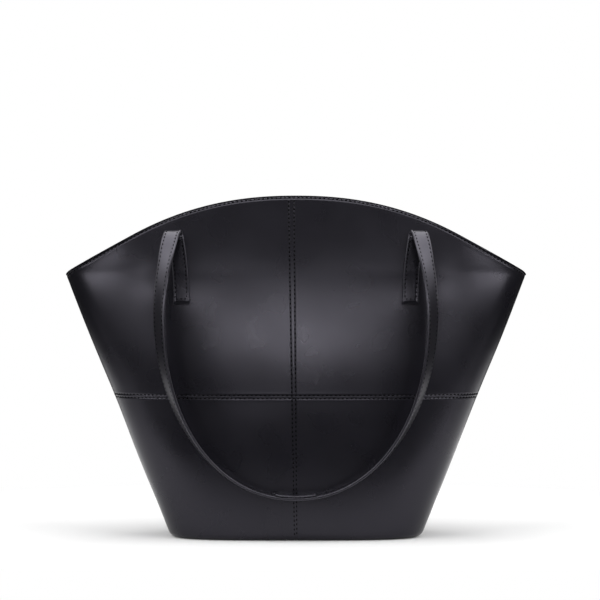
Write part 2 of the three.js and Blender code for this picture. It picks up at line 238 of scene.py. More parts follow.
def read_along(values, reach, places):
    return np.stack([np.interp(places, reach, values[:, axis]) for axis in range(3)], axis=-1)


# The shell's surface


def half_width(z):
    return BASE_WIDTH / 2 + (MOUTH_WIDTH - BASE_WIDTH) / 2 * z / CORNER_HEIGHT


def half_depth(z):
    above = z > BELLY_HEIGHT
    reach = np.where(above, CENTRE_HEIGHT - BELLY_HEIGHT, BELLY_HEIGHT)
    end_depth = np.where(above, MOUTH_DEPTH, BASE_DEPTH)
    return (BELLY_DEPTH - (BELLY_DEPTH - end_depth) * ((z - BELLY_HEIGHT) / reach) ** 2) / 2


def squareness(z):
    return lerp(BASE_SQUARENESS, MOUTH_SQUARENESS, np.clip(z / CORNER_HEIGHT, 0, 1))


def mouth_height(x):
    """The mouth edge: a flat arch, a straight tangent on each side and a rounded corner."""
    slope = math.tan(EDGE_ANGLE)
    arch_end = (MOUTH_WIDTH / 2 - (CENTRE_HEIGHT - CORNER_HEIGHT) / slope) / (1 - 1 / ARCH_POWER)
    arch_drop = slope * arch_end / ARCH_POWER
    away = np.abs(x)
    arch = arch_drop * (away / arch_end) ** ARCH_POWER
    line = arch_drop + (away - arch_end) * slope
    corner = np.maximum(away - MOUTH_WIDTH / 2 + CORNER_ROUNDING, 0) / CORNER_ROUNDING
    return CENTRE_HEIGHT - np.where(away < arch_end, arch, line) - CORNER_DROP * corner**2


def mouth_slope(x):
    return (mouth_height(x + SLOPE_STEP) - mouth_height(x - SLOPE_STEP)) / (2 * SLOPE_STEP)


def section_point(angle, z, inset):
    """A point of a horizontal section. The front runs from -180 degrees, on the left, to 0."""
    power = squareness(z)
    across = np.cos(angle)
    out = np.sin(angle)
    radius = (np.abs(across) ** power + np.abs(out) ** power) ** (-1 / power)
    x = (half_width(z) - inset) * across * radius
    y = (half_depth(z) - inset) * out * radius
    return np.stack(np.broadcast_arrays(x, y, z), axis=-1)


def settled_heights(shape, angle_at):
    """Heights of the mouth edge at angles that may depend on the height."""
    z = np.full(shape, float(CORNER_HEIGHT))
    for _ in range(SETTLE_ROUNDS):
        z = mouth_height(section_point(angle_at(z), z, 0)[..., 0])
    return z


def run_at(z):
    """Distance along the wall's profile: the flat underside, the rounding, then up the wall."""
    return WALL_FOOT + z - BOTTOM_RADIUS


def wall_point(angle, run):
    turn = np.clip((run - UNDERSIDE_LIP) / BOTTOM_RADIUS, 0, math.pi / 2)
    above = np.maximum(run - WALL_FOOT, 0)
    under = np.maximum(UNDERSIDE_LIP - run, 0)
    z = BOTTOM_RADIUS * (1 - np.cos(turn)) + above
    return section_point(angle, z, BOTTOM_RADIUS * (1 - np.sin(turn)) + under)


def wall_normal(angle, run):
    step = SLOPE_STEP / MOUTH_WIDTH
    along = wall_point(angle + step, run) - wall_point(angle - step, run)
    up = wall_point(angle, run + SLOPE_STEP) - wall_point(angle, run - SLOPE_STEP)
    return unit(np.cross(along, up))


def layer_point(angle, run, depth):
    return wall_point(angle, run) - depth * wall_normal(angle, run)


def front_angle(x, z):
    power = squareness(z)
    across = x / half_width(z)
    return np.arctan2(-((1 - np.abs(across) ** power) ** (1 / power)), across)


def front_point(x, z, depth):
    return layer_point(front_angle(x, z), run_at(z), depth)


# Relief of the sewn leather, in millimetres out from the smooth surface


def seam_middle(z):
    return lerp(CENTRE_LEAN_BOTTOM, CENTRE_LEAN_TOP, z / CENTRE_HEIGHT)


def seam_spread(z):
    return lerp(CENTRE_SPREAD_BOTTOM, CENTRE_SPREAD_TOP, z / CENTRE_HEIGHT)


def centre_relief(x, z):
    """Two grooves, with a band between them and soft shoulders outside."""
    outside = np.abs(x - seam_middle(z)) - seam_spread(z)
    depth = lerp(CENTRE_GROOVE_BOTTOM, CENTRE_GROOVE_TOP, np.clip(z / CROSS_SEAM_HEIGHT, 0, 1))
    band = CENTRE_BAND * ease(-outside, CENTRE_BAND_RISE)
    return band - depth * hump(outside, CENTRE_GROOVE_WIDTH) + ridge(outside, *CENTRE_SHOULDER)


def cross_relief(z):
    """Two grooves round the thin ridge of the folded edge."""
    above = z - CROSS_SEAM_HEIGHT
    grooves = ridge(above, *CROSS_UPPER_GROOVE) + ridge(above, *CROSS_LOWER_GROOVE)
    shoulders = ridge(np.abs(above) - CROSS_SPREAD, *CROSS_SHOULDER)
    return grooves + shoulders + ridge(above, *CROSS_RIDGE)


def mouth_relief(x, z):
    """A rounded edge, a groove for its row of stitches and a soft ridge under that."""
    below = (mouth_height(x) - z) * np.cos(np.arctan(mouth_slope(x)))
    rounded = -MOUTH_ROUNDING * np.clip(1 - below / MOUTH_ROUNDING_HEIGHT, 0, 1) ** 2
    return rounded + ridge(below - MOUTH_ROW, *MOUTH_GROOVE) + ridge(below - MOUTH_ROW, *MOUTH_RIDGE)


def pull_relief(x, z):
    """The straps pull the leather out a little round each sewn end."""
    away = np.hypot(np.abs(x) - END_SPACING / 2 - PULL_SHIFT, z - END_HEIGHT - PULL_RISE)
    return PULL_HEIGHT * hump(away, PULL_REACH)


def bulge_relief(angle, x, z):
    """The leather swells next to the corners, but not at the side seams themselves."""
    below = np.maximum(mouth_height(x) - z, 0) / BULGE_DROP
    swell = (below * np.exp(1 - below)) ** 2 * ease(np.abs(x) - BULGE_START, BULGE_SPAN)
    return BULGE_HEIGHT * swell * np.abs(np.sin(angle))


def side_relief(angle, z):
    away = half_depth(z) * np.minimum(np.abs(angle), np.abs(angle + math.pi))
    return ridge(away, *SIDE_SWELL) + ridge(away, *SIDE_DIP)


wave_dice = np.random.default_rng(7)
WAVE_LENGTHS = wave_dice.uniform(SHORTEST_WAVE, LONGEST_WAVE, WAVE_COUNT)
WAVE_WAYS = wave_dice.uniform(0, math.pi, WAVE_COUNT)
WAVE_STARTS = wave_dice.uniform(0, 2 * math.pi, WAVE_COUNT)


def wave_relief(x, z):
    """The slight unevenness of leather that has been sewn and handled."""
    total = 0
    for length, way, start in zip(WAVE_LENGTHS, WAVE_WAYS, WAVE_STARTS):
        place = x * math.cos(way) + z * math.sin(way)
        height = WAVE_HEIGHT * length / SHORTEST_WAVE
        total = total + height * np.sin(2 * math.pi * place / length + start)
    return total


def shell_surface(angle, run):
    """A point on the outside of the front's sewn shell, and the smooth surface's normal there."""
    smooth = wall_point(angle, run)
    normal = wall_normal(angle, run)
    x = smooth[..., 0]
    z = smooth[..., 2]
    relief = centre_relief(x, z) + cross_relief(z) + mouth_relief(x, z) + side_relief(angle, z)
    waves = wave_relief(x, z) * ease(z, WAVE_FOOT)
    relief = relief + pull_relief(x, z) + bulge_relief(angle, x, z) + waves
    return smooth + relief[..., None] * normal, normal


# Meshes

PANEL_CREASE = 50  # edges that turn by more than this stay sharp, in degrees
STRAP_CREASE = 60


def add_piece(name, points, faces, materials, body=None, face_materials=None, crease=None):
    """A mesh object from points in millimetres. The first material is the piece's main one."""
    mesh = bpy.data.meshes.new(name)
    rings = faces.tolist() if isinstance(faces, np.ndarray) else faces
    mesh.from_pydata((np.asarray(points) * METRE).tolist(), [], rings)
    for material in materials:
        mesh.materials.append(material)
    if face_materials is not None:
        mesh.polygons.foreach_set("material_index", np.asarray(face_materials, dtype=np.int32))
    mesh.polygons.foreach_set("use_smooth", np.ones(len(mesh.polygons), dtype=bool))
    if crease is not None:
        mesh.set_sharp_from_angle(angle=math.radians(crease))
    mesh.update()
    piece = bpy.data.objects.new(name, mesh)
    bpy.context.scene.collection.objects.link(piece)
    if body:
        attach(piece, body)
    return piece


def grid_faces(rows, columns, first=0, close_rows=False, close_columns=False):
    row, column = np.meshgrid(
        np.arange(rows if close_rows else rows - 1),
        np.arange(columns if close_columns else columns - 1),
        indexing="ij",
    )
    next_row = (row + 1) % rows
    next_column = (column + 1) % columns
    corners = [
        row * columns + column,
        row * columns + next_column,
        next_row * columns + next_column,
        next_row * columns + column,
    ]
    return first + np.stack(corners, axis=-1).reshape(-1, 4)


def closed_sheet(outer, inner):
    """Points and faces of a closed solid between two grids that share their edge lines."""
    rows, columns, _ = outer.shape
    count = rows * columns
    points = np.concatenate([outer.reshape(-1, 3), inner.reshape(-1, 3)])
    index = np.arange(count).reshape(rows, columns)
    rim = np.concatenate([index[0], index[1:, -1], index[-1, -2::-1], index[-2:0:-1, 0]])
    following = np.roll(rim, -1)
    walls = np.stack([rim, rim + count, following + count, following], axis=-1)
    back = grid_faces(rows, columns, first=count)[:, ::-1]
    return points, np.concatenate([grid_faces(rows, columns), back, walls])


def turned(points, face):
    """The back is the front turned half round."""
    return np.asarray(points) * (np.array([1, 1, 1]) if face == "front" else np.array([-1, -1, 1]))


def add_sheet(name, sheet, face, materials, body="bag", crease=PANEL_CREASE):
    """A piece from its points, its faces and, where it has two materials, each face's one."""
    points, faces, *face_materials = sheet
    return add_piece(name, turned(points, face), faces, materials, body, *face_materials, crease=crease)


def hand_of(side, face):
    return "left" if (side < 0) == (face == "front") else "right"


# Materials

TEXTURE_LOW = 0.3  # the middle range of a texture, which holds most of its values
TEXTURE_HIGH = 0.7
BLACK_DYE = (0.0041, 0.0039, 0.0056)
WORN_DYE = (0.0059, 0.0056, 0.0081)
LEATHER_SHEEN = (0.885, 0.85, 1, 1)  # the finish reflects a little bluer than the light
FINISH_DRIFT = 0.015  # how far roughness wanders to each side, on leather and on painted edges
BRUSH_DRIFT = 0.06
PLAIN_SHINE = 0.5
MATT = 0.9
TWILL_DARK = (0.008, 0.008, 0.009)
TWILL_LIGHT = (0.02, 0.02, 0.022)
# Scales are in features to a metre, and heights of relief in millimetres
GRAIN_SCALE = 850
PORE_SCALE = 2600
PORE_SHARE = 1 / 3  # of the grain's height
FINISH_SCALE = 30
DYE_SCALE = 22
BRUSH_SCALE = 240
BRUSH_HEIGHT = 0.05
FIBRE_HEIGHT = 0.1
RIB_SCALE = 420
RIB_HEIGHT = 0.12
SLUB_SCALE = 160


def set_inputs(node, **values):
    """Sets a node's inputs. An underscore stands for a space in an input's name."""
    for name, value in values.items():
        node.inputs[name.replace("_", " ")].default_value = value


class NodeTree:
    """The node tree of a new material or world."""

    def __init__(self, owner):
        owner.use_nodes = True
        self.nodes = owner.node_tree.nodes
        self.link = owner.node_tree.links.new

    def add(self, kind, source=None, socket=None, **values):
        """A new node, with a source linked to one of its inputs."""
        node = self.nodes.new("ShaderNode" + kind)
        set_inputs(node, **values)
        if source is not None:
            self.link(source, node.inputs[socket])
        return node

    def end_in_mix(self, share, first, second, output):
        """Ends the tree in a mix of two shaders."""
        mix = self.add("MixShader", share, "Fac")
        self.link(first.outputs[0], mix.inputs[1])
        self.link(second.outputs[0], mix.inputs[2])
        self.add(output, mix.outputs[0], "Surface")


class Look(NodeTree):
    """A new material, and the nodes that drive its shader."""

    def __init__(self, name, **values):
        self.material = bpy.data.materials.new(name)
        super().__init__(self.material)
        self.shader = self.nodes["Principled BSDF"]
        self.place = self.add("TexCoord").outputs["Object"]
        set_inputs(self.shader, **values)

    def texture(self, kind, scale, **values):
        """A texture on the piece's own coordinates."""
        return self.add("Tex" + kind, self.place, "Vector", Scale=scale, **values)

    def noise(self, scale, **values):
        return self.texture("Noise", scale, **values).outputs["Fac"]

    def roughness(self, source, middle, drift):
        """Spreads a texture's middle range over a range of roughness."""
        spread = self.add("MapRange", source, "Value", From_Min=TEXTURE_LOW, From_Max=TEXTURE_HIGH)
        set_inputs(spread, To_Min=middle - drift, To_Max=middle + drift)
        self.link(spread.outputs["Result"], self.shader.inputs["Roughness"])

    def colour(self, source, dark, light):
        ramp = self.add("ValToRGB", source, "Fac")
        stops = ((TEXTURE_LOW, dark), (TEXTURE_HIGH, light))
        for element, (position, colour) in zip(ramp.color_ramp.elements, stops):
            element.position = position
            element.color = (*colour, 1)
        self.link(ramp.outputs["Color"], self.shader.inputs["Base Color"])

    def relief(self, *layers):
        """Bumps, one on another, each given as a source and a height in millimetres."""
        below = None
        for source, height in layers:
            bump = self.add("Bump", source, "Height", Strength=1, Distance=height * METRE)
            if below is not None:
                self.link(below, bump.inputs["Normal"])
            below = bump.outputs["Normal"]
        self.link(below, self.shader.inputs["Normal"])


def leather(name, rough, grain, shine=PLAIN_SHINE):
    """Smooth dyed leather: fine grain cells, pores, and a finish that varies a little."""
    look = Look(name, Specular_Tint=LEATHER_SHEEN, Specular_IOR_Level=shine)
    cells = look.texture("Voronoi", GRAIN_SCALE, Randomness=1)
    cells.feature = "SMOOTH_F1"
    look.roughness(look.noise(FINISH_SCALE, Detail=2), rough, FINISH_DRIFT)
    look.colour(look.noise(DYE_SCALE, Detail=5), BLACK_DYE, WORN_DYE)
    pores = look.noise(PORE_SCALE, Detail=2)
    look.relief((pores, grain * PORE_SHARE), (cells.outputs["Distance"], grain))
    return look.material


def edge_paint(name, rough, shine):
    """The paint that seals a cut edge, with slight brush marks."""
    look = Look(name, Specular_Tint=LEATHER_SHEEN, Specular_IOR_Level=shine)
    marks = look.noise(BRUSH_SCALE, Detail=3)
    look.roughness(marks, rough, BRUSH_DRIFT)
    look.colour(marks, BLACK_DYE, WORN_DYE)
    look.relief((marks, BRUSH_HEIGHT))
    return look.material


def fibrous(name, scale, dark, light, shine=PLAIN_SHINE, **values):
    """Matt thread or board, whose colour and fine relief follow its fibres."""
    look = Look(name, Roughness=MATT, Specular_IOR_Level=shine)
    fibres = look.noise(scale, **values)
    look.colour(fibres, dark, light)
    look.relief((fibres, FIBRE_HEIGHT))
    return look.material


def twill():
    """Black lining cloth with fine slanting ribs."""
    look = Look("lining_twill", Roughness=0.85, Sheen_Weight=0.3)
    ribs = look.texture("Wave", RIB_SCALE, Distortion=0.6, Detail=1)
    ribs.bands_direction = "DIAGONAL"
    look.colour(look.noise(SLUB_SCALE, Detail=4), TWILL_DARK, TWILL_LIGHT)
    look.relief((ribs.outputs["Fac"], RIB_HEIGHT))
    return look.material


SHELL_LEATHER = leather("shell_leather", rough=0.28, grain=0.012)
STRAP_LEATHER = leather("strap_leather", rough=0.3, grain=0.015, shine=0.8)
STRAP_BACKING = leather("strap_backing_leather", rough=0.27, grain=0.02, shine=0.45)
FACING_LEATHER = leather("facing_leather", rough=0.35, grain=0.03)
MOUTH_PAINT = edge_paint("mouth_edge_paint", rough=0.6, shine=0.03)
STRAP_PAINT = edge_paint("strap_edge_paint", rough=0.44, shine=0.35)
THREAD = fibrous(
    "waxed_thread",
    scale=1800,
    dark=(0.0008, 0.0008, 0.0008),
    light=(0.002, 0.002, 0.002),
    shine=0.08,
    Detail=2,
)
LINING_TWILL = twill()
FIBRE_BOARD = fibrous(
    "fibre_board",
    scale=320,
    dark=(0.12, 0.1, 0.08),
    light=(0.24, 0.21, 0.18),
    Detail=6,
    Distortion=1.5,
)


# Stitches: short threads, rounded at both ends, that dip into the leather

STITCH_STATIONS = np.array([-1, -0.86, -0.5, 0, 0.5, 0.86, 1])
STITCH_GIRTHS = np.array([0.3, 0.75, 1, 1, 1, 0.75, 0.3])
STITCH_SIDES = 7
STITCH_SINK = 0.12  # middle of the thread below the leather
STITCH_DIP = 0.3  # how much deeper its ends lie
STITCH_SLANT = math.radians(9)
ROW_START = 0.5  # where a row's first stitch lies, as a share of the pitch


def stitch_shape(width):
    """One stitch along +X with +Z up, as rings of points closed by a cap at each end."""
    turn = turns(STITCH_SIDES)
    x = STITCH_STATIONS[:, None] * STITCH_LENGTH / 2 + 0 * turn
    y = STITCH_GIRTHS[:, None] * np.cos(turn) * width / 2
    middle = -STITCH_SINK - STITCH_DIP * STITCH_STATIONS[:, None] ** 2
    z = STITCH_GIRTHS[:, None] * np.sin(turn) * STITCH_HEIGHT / 2 + middle
    slanted_x = x * math.cos(STITCH_SLANT) - y * math.sin(STITCH_SLANT)
    slanted_y = x * math.sin(STITCH_SLANT) + y * math.cos(STITCH_SLANT)
    rings = np.stack([slanted_x, slanted_y, z], axis=-1).reshape(-1, 3)
    sides = grid_faces(len(STITCH_STATIONS), STITCH_SIDES, close_columns=True)[:, ::-1]
    last = len(rings) - STITCH_SIDES
    caps = [list(range(STITCH_SIDES)), list(range(last + STITCH_SIDES - 1, last - 1, -1))]
    return rings, sides.tolist() + caps


SEAM_STITCH, STITCH_FACES = stitch_shape(SEAM_STITCH_WIDTH)
STRAP_STITCH, _ = stitch_shape(STRAP_STITCH_WIDTH)


def stitch_row(stitch, line, normals, start=ROW_START):
    """Stitches at an even pitch along a line on the leather."""
    reach = reach_along(line)
    count = int((reach[-1] - STITCH_LENGTH) / STITCH_PITCH)
    pitch = reach[-1] / (count + 1)
    places = (np.arange(count + 1) + start) * pitch
    middle = read_along(line, reach, places)
    half = STITCH_LENGTH / 2
    ahead = unit(read_along(line, reach, places + half) - read_along(line, reach, places - half))
    up = read_along(normals, reach, places)
    up = unit(up - np.sum(up * ahead, axis=1, keepdims=True) * ahead)
    across = np.cross(up, ahead)
    local = stitch[None, :, :, None] * np.stack([ahead, across, up], axis=1)[:, None]
    return middle[:, None] + local.sum(axis=2)


def add_stitches(name, rows, face, body):
    stitches = np.concatenate(rows)
    size = stitches.shape[1]
    faces = [[corner + size * i for corner in ring] for i in range(len(stitches)) for ring in STITCH_FACES]
    return add_piece(name, turned(stitches.reshape(-1, 3), face), faces, [THREAD], body)


# Shell panels

COLUMNS = len(NEAR_SEAM) + FAR_COLUMNS + len(NEAR_SIDE)
ROUNDING_STEPS = 6
CENTRE_LINE_POINTS = 300  # of the lines that stitches follow
CROSS_LINE_POINTS = 600
MOUTH_LINE_POINTS = 700
CENTRE_ROW_CLEAR = 1.5  # from the mouth's row down to where the centre seam's rows end
CENTRE_ROW_SHIFT = 0.1  # of the two rows, one up and one down, as a share of the pitch
CROSS_ROW_CLEAR = 0.02  # from the side seams to where the rows end, in radians
MOUTH_ROW_CLEAR = 0.03


def column_angles(side, z):
    """The angle of each column of a quarter, from the centre seam to the side seam, at heights z."""
    side_angle = 0 if side > 0 else -math.pi
    far_start = len(NEAR_SEAM)
    near, far, end = np.split(z, [far_start, far_start + FAR_COLUMNS], axis=1)

    def from_seam(away, height):
        return front_angle(seam_middle(height) + side * away * seam_spread(height), height)

    def from_side(away, height):
        return side_angle - side * away / half_depth(height)

    between = lerp(from_seam(NEAR_SEAM[-1], far), from_side(NEAR_SIDE[0], far), inner_shares(FAR_COLUMNS))
    return np.concatenate([from_seam(NEAR_SEAM, near), between, from_side(NEAR_SIDE, end)], axis=1)


def panel_sheet(side, angles, runs):
    outer, _ = shell_surface(angles, runs)
    inner = layer_point(angles, runs, LEATHER)
    if side < 0:
        outer = outer[:, ::-1]
        inner = inner[:, ::-1]
    return closed_sheet(outer, inner)


def upper_panel(side):
    foot = np.broadcast_to(LAP_HEIGHT + NEAR_CROSS[:, None], (len(NEAR_CROSS), COLUMNS))
    edge = settled_heights((1, COLUMNS), lambda z: column_angles(side, z))
    top = edge - EDGE_COVER - NEAR_MOUTH[:, None]
    between = lerp(foot[-1], top[0], inner_shares(UPPER_ROWS)[:, None])
    z = np.concatenate([foot, between, top])
    return panel_sheet(side, column_angles(side, z), run_at(z))


def lower_panel(side):
    under = np.array([0, UNDERSIDE_LIP / 2])
    rounding = UNDERSIDE_LIP + shares(ROUNDING_STEPS) * ROUNDING_RUN
    top = run_at(LAP_HEIGHT - SEAM_GAP / 4 - NEAR_LAP)
    between = lerp(rounding[-1], top[0], inner_shares(LOWER_ROWS))
    runs = np.concatenate([under, rounding, between, top])
    runs = np.broadcast_to(runs[:, None], (len(runs), COLUMNS))
    z = wall_point(0, runs)[..., 2]
    return panel_sheet(side, column_angles(side, z), runs)


def add_panels(face):
    for side in (-1, 1):
        for level, sheet in (("upper", upper_panel(side)), ("lower", lower_panel(side))):
            node = f"{face}_{level}_{hand_of(side, face)}_panel"
            piece = add_sheet(node + "_leather", sheet, face, [SHELL_LEATHER])
            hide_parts(node)


def add_seam_stitches(face):
    top = CENTRE_HEIGHT - MOUTH_ROW - CENTRE_ROW_CLEAR
    heights = np.linspace(BOTTOM_RADIUS, top, CENTRE_LINE_POINTS)
    rows = []
    for side in (-1, 1):
        angle = front_angle(seam_middle(heights) + side * seam_spread(heights), heights)
        line, normals = shell_surface(angle, run_at(heights))
        rows.append(stitch_row(SEAM_STITCH, line, normals, ROW_START + CENTRE_ROW_SHIFT * side))
    add_stitches(f"{face}_centre_seam_stitches", rows, face, "bag")

    angles = front_angles(CROSS_ROW_CLEAR, CROSS_LINE_POINTS)
    rows = []
    for height in (CROSS_SEAM_HEIGHT + CROSS_SPREAD, CROSS_SEAM_HEIGHT - CROSS_SPREAD):
        line, normals = shell_surface(angles, run_at(np.full_like(angles, height)))
        rows.append(stitch_row(SEAM_STITCH, line, normals))
    add_stitches(f"{face}_cross_seam_stitches", rows, face, "bag")


# The mouth: painted edge, its stitches, the facing and the lining

MOUTH_STEPS = 360
# The painted edge's section: depth below the outer face, and height above the mouth edge
EDGE_SHOULDER = [(-0.08, -1.3), (-0.16, -1), (-0.14, -0.6), (0.1, -0.2), (0.7, 0.06)]
EDGE_CROWN = [(WALL_DEPTH / 2, 0.2)]
EDGE_UNDERSIDE = [(WALL_DEPTH - 0.4, -1.6), (WALL_DEPTH / 2, -1.2), (0.4, -1.6)]
INNER_SHOULDER = [(WALL_DEPTH - depth, rise) for depth, rise in EDGE_SHOULDER[::-1]]
EDGE_SECTION = np.array(EDGE_SHOULDER + EDGE_CROWN + INNER_SHOULDER + EDGE_UNDERSIDE)


def mouth_line(angle):
    """Heights of the mouth edge at angles all round the bag."""
    return settled_heights(angle.shape, lambda z: angle)


def mouth_frame(angle):
    """Points of the mouth edge, the wall's normal there and the way out of the edge."""
    z = mouth_line(angle)
    step = SLOPE_STEP / MOUTH_WIDTH
    along = wall_point(angle + step, run_at(mouth_line(angle + step)))
    along = unit(along - wall_point(angle - step, run_at(mouth_line(angle - step))))
    normal = wall_normal(angle, run_at(z))
    return wall_point(angle, run_at(z)), normal, unit(np.cross(normal, along))


def add_mouth_edge():
    angle = turns(MOUTH_STEPS)
    middle, normal, out = mouth_frame(angle)
    depth, rise = EDGE_SECTION.T
    points = middle[:, None] - depth[:, None] * normal[:, None] + rise[:, None] * out[:, None]
    faces = grid_faces(MOUTH_STEPS, len(EDGE_SECTION), close_rows=True, close_columns=True)
    piece = add_piece("mouth_edge_paint", points.reshape(-1, 3), faces, [MOUTH_PAINT], "bag")


def add_mouth_stitches(face):
    angles = front_angles(MOUTH_ROW_CLEAR, MOUTH_LINE_POINTS)
    z = mouth_line(angles)
    x = section_point(angles, z, 0)[..., 0]
    z = z - MOUTH_ROW / np.cos(np.arctan(mouth_slope(x)))
    line, normals = shell_surface(angles, run_at(z))
    inside = layer_point(angles, run_at(z), WALL_DEPTH)
    rows = [stitch_row(STRAP_STITCH, line, normals), stitch_row(STRAP_STITCH, inside, -normals)]
    add_stitches(f"{face}_mouth_stitches", rows, face, "bag")


HALF_COLUMNS = 140
BAND_ROWS = 12
LINING_ROWS = 40
FACING_PULL = (0.2, MOUTH_ROW, 0.8)  # groove of the stitches, down from the facing's top
LINING_STAND = 1.6  # how far the lining's soft folds stand in from the wall
LINING_SLACK_POWER = 0.7  # how soon they grow, up from the base and down from the facing
LINING_MEAN = 0.5  # their mean height, and their waves' heights, numbers, slants and starts
LINING_WAVES = ((0.3, 17, 2.2, 0), (0.2, 31, -5, 1))

HALF_CLEAR = SEAM_GAP / 2 / half_depth(CROSS_SEAM_HEIGHT)  # from the side seams, in radians
HALF_ANGLES = front_angles(HALF_CLEAR, HALF_COLUMNS)[None]


def add_facing(face):
    top = mouth_line(HALF_ANGLES) - EDGE_COVER
    z = lerp(top - FACING_HEIGHT + EDGE_COVER, top, shares(BAND_ROWS)[:, None])
    pulled = ridge(top - z, *FACING_PULL)
    outer = layer_point(HALF_ANGLES, run_at(z), LINING_DEPTH)
    inner = layer_point(HALF_ANGLES, run_at(z), (WALL_DEPTH - pulled)[..., None])
    piece = add_sheet(f"{face}_facing_leather", closed_sheet(outer, inner), face, [FACING_LEATHER])
    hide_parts(f"{face}_facing")


def add_lining(face):
    top = mouth_line(HALF_ANGLES) - FACING_HEIGHT - SEAM_GAP
    rise = shares(LINING_ROWS)[:, None]
    z = lerp(float(BOTTOM_RADIUS), top, rise)
    slack = np.sin(math.pi * rise) ** LINING_SLACK_POWER
    folds = LINING_MEAN
    for height, number, slant, start in LINING_WAVES:
        folds = folds + height * np.sin(number * HALF_ANGLES + slant * rise + start)
    depth = (LINING_DEPTH + LINING_STAND * slack * folds)[..., None]
    outer = layer_point(HALF_ANGLES, run_at(z), depth)
    inner = layer_point(HALF_ANGLES, run_at(z), depth + LINING)
    piece = add_sheet(f"{face}_lining_cloth", closed_sheet(outer, inner), face, [LINING_TWILL])
    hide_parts(f"{face}_lining")


# The base

BASE_SIDES = 160
BASE_RINGS = 14


def base_slab(inset, low, high, soften, sag):
    """A flat layer with the shell's outline at the floor, its edges rounded and its top sagging."""
    angle = turns(BASE_SIDES)
    spread = np.concatenate([shares(BASE_RINGS)[1:], [1]])
    lower = np.full(len(spread), float(low))
    lower[-1] = low + soften
    edge_inset = np.full(len(spread), float(inset))
    edge_inset[-2] = inset + soften
    outline = section_point(angle[None], np.zeros((len(spread), 1)), edge_inset[:, None])
    outline[..., :2] *= spread[:, None, None]
    under = outline.copy()
    under[..., 2] = lower[:, None]
    over = outline.copy()
    dip = sag * (1 - spread**2)
    over[..., 2] = (low + high - lower - dip)[:, None]
    rings = np.concatenate([under, over[::-1]])
    centre = len(rings) * BASE_SIDES
    points = np.concatenate([rings.reshape(-1, 3), [[0, 0, low], [0, 0, high - sag]]])
    faces = grid_faces(len(rings), BASE_SIDES, close_columns=True).tolist()
    for i in range(BASE_SIDES):
        following = (i + 1) % BASE_SIDES
        faces.append([centre, following, i])
        faces.append([centre + 1, centre - BASE_SIDES + i, centre - BASE_SIDES + following])
    return points, faces


def add_base():
    slab = base_slab(BOTTOM_RADIUS + UNDERSIDE_LIP + SEAM_GAP, 0, LEATHER, soften=0.4, sag=0)
    panel = add_sheet("base_panel_leather", slab, "front", [SHELL_LEATHER])
    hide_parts("base_panel")
    floor = LEATHER + 2 * LAYER_GAP + BASE_BOARD
    slab = base_slab(BOTTOM_RADIUS, floor, floor + LINING, soften=0.2, sag=0.2)
    lining = add_sheet("base_lining_cloth", slab, "front", [LINING_TWILL])
    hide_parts("base_lining")


# Straps. A station has a point, the way along the strap, the way across and the way its face looks.

FORWARDS = np.array([0.0, -1.0, 0.0])
RUN_TOP = FOLD_HEIGHT - FOLD_DROP
RIM_HEIGHT = STRAP_THICKNESS / 2 - RIM_SINK
UPPER_RUN_STEPS = 36
LOWER_RUN_STEPS = 80
FOLD_STEPS = 30
END_STEPS = 40
EDGE_STEPS = 7
SPLICE_STEPS = 21
SPLICE_NEAR = NEAR_EDGE[:6]  # lines next to the splice's ends, in place of its first and last two steps
END_LINE_POINTS = 80  # of the lines that a sewn end's stitches follow
FOOT_LINE_POINTS = 12
END_ROW_CLEAR = 1  # from the fold down to where a sewn end's rows end
END_ROW_START = 0.6  # of the pitch
FOOT_ROW_OVERHANG = 0.4  # of the foot's row past the rows along the sides


def stations(point, along, across):
    tangent = unit(along)
    width = unit(across - np.sum(across * tangent, axis=-1, keepdims=True) * tangent)
    return {"point": point, "tangent": tangent, "width": width, "normal": np.cross(tangent, width)}


def end_stations(side, z):
    """The sewn end lies flat on the panel."""

    def place(inward, height):
        bend = ((height - END_HEIGHT) / END_LENGTH) ** 2
        x = side * (END_SPACING / 2 + END_LEAN * bend - inward)
        depth = -pull_relief(x, height) - LAYER_GAP - STRAP_THICKNESS / 2
        return front_point(x, height, depth[..., None])

    along = place(0, z + SLOPE_STEP) - place(0, z - SLOPE_STEP)
    across = place(SLOPE_STEP, z) - place(-SLOPE_STEP, z)
    return stations(place(0, z), along, across)


FOLD_TOP = end_stations(1, np.array([float(FOLD_HEIGHT)]))["point"][0]
RUN_START_X = FOLD_TOP[0] + FOLD_SKEW
RUN_START_Y = FOLD_TOP[1] - 2 * FOLD_RADIUS


def half_run():
    """One half of the hanging loop in the front view, from the fold down to the bottom."""
    up = 1 - shares(UPPER_RUN_STEPS)
    upper_x = lerp(LOOP_WIDTH / 2, RUN_START_X, up**SPREAD_POWER)
    upper_z = lerp(LOOP_WIDEST_HEIGHT, RUN_TOP, up)
    angle = shares(LOWER_RUN_STEPS)[1:] * math.pi / 2
    lower_x = LOOP_WIDTH / 2 * np.cos(angle) ** (2 / LOOP_POWER)
    down = np.sin(angle) ** (2 / LOOP_POWER)
    lower_z = lerp(LOOP_WIDEST_HEIGHT, LOOP_BOTTOM_HEIGHT, down)
    return np.concatenate([upper_x, lower_x]), np.concatenate([upper_z, lower_z])


def fall_at(z):
    return (RUN_TOP - z) / (RUN_TOP - LOOP_BOTTOM_HEIGHT)


def twist_at(z):
    fall = fall_at(z)
    return FOLD_TURN * ease(fall + TURN_FALL, 2 * TURN_FALL) + LOOP_TWIST * fall


def lean_at(z):
    return (1 - np.exp(-fall_at(z) / LEAN_FALL)) / (1 - math.exp(-1 / LEAN_FALL))


